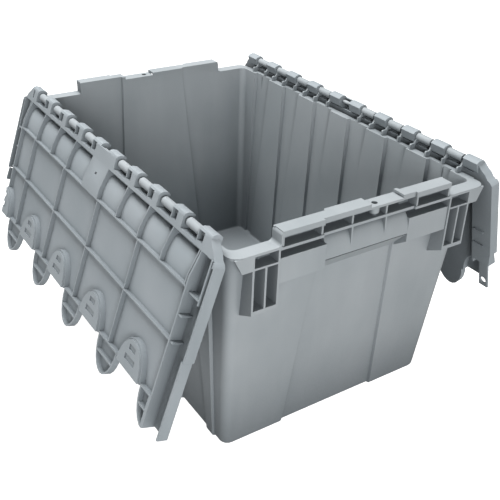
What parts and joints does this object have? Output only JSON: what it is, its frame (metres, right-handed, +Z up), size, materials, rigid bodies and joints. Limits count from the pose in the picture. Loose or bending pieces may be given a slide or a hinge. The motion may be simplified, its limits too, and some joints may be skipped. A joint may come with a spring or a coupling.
{
  "type": "attached lid tote",
  "caption": "Tapered rectangular container with two interlocking lids hinged along its long sides, shown with both lids hanging open.",
  "frame": {"origin": "centre of the container's footprint, on the floor it stands on", "axes": "+Z up, Y along the length between the two handle ends, X across from the left lid's hinge (-X) to the right lid's hinge (+X)"},
  "size_m": [0.5314, 0.5564, 0.3173],
  "materials": {
    "tote_plastic": "fine matte moulded polypropylene, light grey",
    "lid_plastic": "fine matte moulded polypropylene, light grey",
    "rod_plastic": "smooth extruded plastic rod, light grey"
  },
  "bodies": {
    "tote": {"tote_body": "tote_plastic", "left_hinge_rod": "rod_plastic", "right_hinge_rod": "rod_plastic"},
    "left_lid": {"left_lid": "lid_plastic"},
    "right_lid": {"right_lid": "lid_plastic"}
  },
  "joints": [
    {"name": "left_lid_hinge", "type": "hinge", "parent": "tote", "child": "left_lid", "pos_m": [-0.19, 0, 0.309], "axis": [0, 1, 0], "range_deg": [-4, 251]},
    {"name": "right_lid_hinge", "type": "hinge", "parent": "tote", "child": "right_lid", "pos_m": [0.19, 0, 0.309], "axis": [0, -1, 0], "range_deg": [-1, 256.5]}
  ]
}
